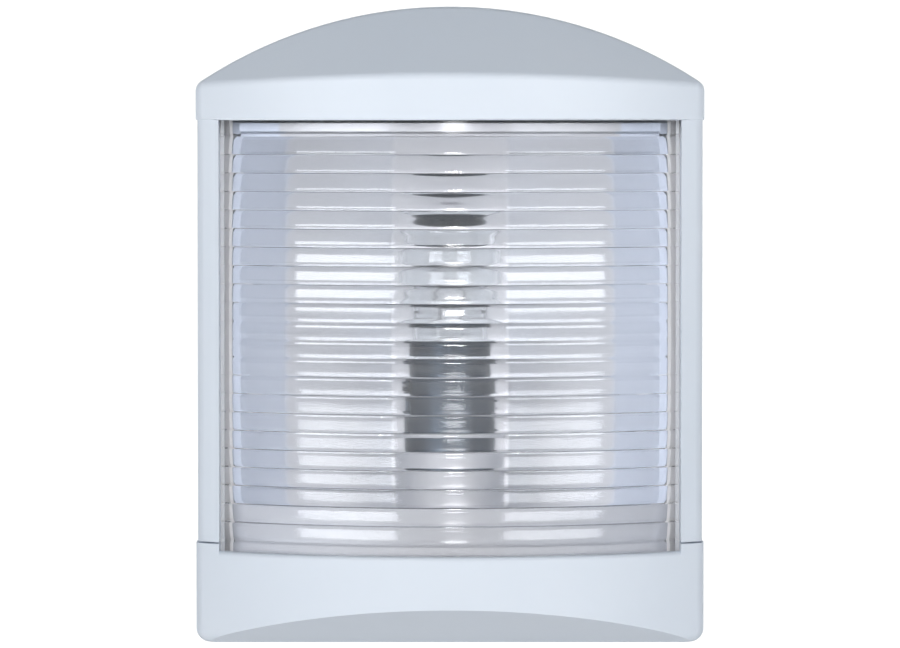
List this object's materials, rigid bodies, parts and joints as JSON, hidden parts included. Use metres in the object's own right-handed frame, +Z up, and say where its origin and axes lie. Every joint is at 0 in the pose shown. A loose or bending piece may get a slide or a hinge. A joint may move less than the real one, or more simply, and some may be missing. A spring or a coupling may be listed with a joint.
{
  "type": "navigation light",
  "caption": "Boat stern light: white hooded housing, slide-off bottom cap with a ribbed clear lens, faceted reflector and bayonet lamp in a sprung holder.",
  "frame": {"origin": "middle of the rear mounting face, at the centre of the four mounting holes", "axes": "+Z up, -Y forward out of the lens, +X to the right seen from the front"},
  "size_m": [0.092, 0.065, 0.115],
  "materials": {
    "white_shell": "satin, UV-stable",
    "clear_lens": "clear, polished",
    "reflector_white": "gloss white",
    "seal_rubber": "matt grey",
    "black_rubber": "matt",
    "stainless": "bright",
    "zinc_steel": "dull plated",
    "dark_nickel": "dulled nickel",
    "brass": "turned",
    "lamp_glass": "clear",
    "black_glass": "gloss",
    "solder": "dull",
    "tungsten": "matt",
    "black_plastic": "matt",
    "brown_laminate": "matt",
    "red_pvc": "satin",
    "black_pvc": "satin",
    "spring_steel": "bright"
  },
  "bodies": {
    "housing": {"rear_housing": "white_shell", "rear_gasket": "black_rubber", "cable_grommet": "black_rubber", "thread_inserts": "brass", "reflector": "reflector_white", "reflector_screws": "stainless", "holder_bracket": "zinc_steel", "bracket_screws": "stainless", "holder_shell": "zinc_steel", "holder_insulator": "brown_laminate", "contact_tags": "brass", "left_contact_spring": "spring_steel", "right_contact_spring": "spring_steel", "terminal_block": "black_plastic", "terminal_block_screw": "stainless", "terminal_cages": "brass", "terminal_screws": "stainless", "lead_black": "black_pvc", "lead_red": "red_pvc"},
    "cover": {"bottom_cap": "white_shell", "lens": "clear_lens", "lens_seal": "seal_rubber", "cap_seal": "seal_rubber"},
    "left_washer": {"left_screw_washer": "black_rubber"},
    "left_screw": {"left_cap_screw": "stainless"},
    "right_washer": {"right_screw_washer": "black_rubber"},
    "right_screw": {"right_cap_screw": "stainless"},
    "plungers": {"contact_plungers": "brass"},
    "lamp": {"lamp_cap": "dark_nickel", "lamp_foot": "black_glass", "lamp_foot_contacts": "solder", "lamp_pins": "dark_nickel", "lamp_glass": "lamp_glass", "lamp_crown": "dark_nickel", "lamp_stem": "lamp_glass", "filament_supports": "tungsten", "filament": "tungsten"}
  },
  "joints": [
    {"name": "cover_slide", "type": "slide", "parent": "housing", "child": "cover", "axis": [0, 0, -1], "range_m": [0, 0.082]},
    {"name": "lamp_press", "type": "slide", "parent": "housing", "child": "plungers", "axis": [0, 0, -1], "range_m": [0, 0.0015], "stiffness_N_per_m": 3000, "springref_m": -0.0012, "deforming": ["left_contact_spring", "right_contact_spring"]},
    {"name": "lamp_turn", "type": "hinge", "parent": "plungers", "child": "lamp", "pos_m": [0, -0.028, 0], "axis": [0, 0, 1], "range_deg": [0, 20]},
    {"name": "left_screw_travel", "type": "slide", "parent": "cover", "child": "left_washer", "axis": [0, 0, -1], "range_m": [0, 0.006]},
    {"name": "left_screw_turn", "type": "hinge", "parent": "left_washer", "child": "left_screw", "pos_m": [-0.035, -0.012, 0], "axis": [0, 0, -1], "range_deg": [0, 3086]},
    {"name": "right_screw_travel", "type": "slide", "parent": "cover", "child": "right_washer", "axis": [0, 0, -1], "range_m": [0, 0.006]},
    {"name": "right_screw_turn", "type": "hinge", "parent": "right_washer", "child": "right_screw", "pos_m": [0.035, -0.012, 0], "axis": [0, 0, -1], "range_deg": [0, 3086]}
  ],
  "couplings": [
    {"joint": "left_screw_turn", "follows": "left_screw_travel", "rad_per_m": 8976},
    {"joint": "right_screw_turn", "follows": "right_screw_travel", "rad_per_m": 8976}
  ]
}
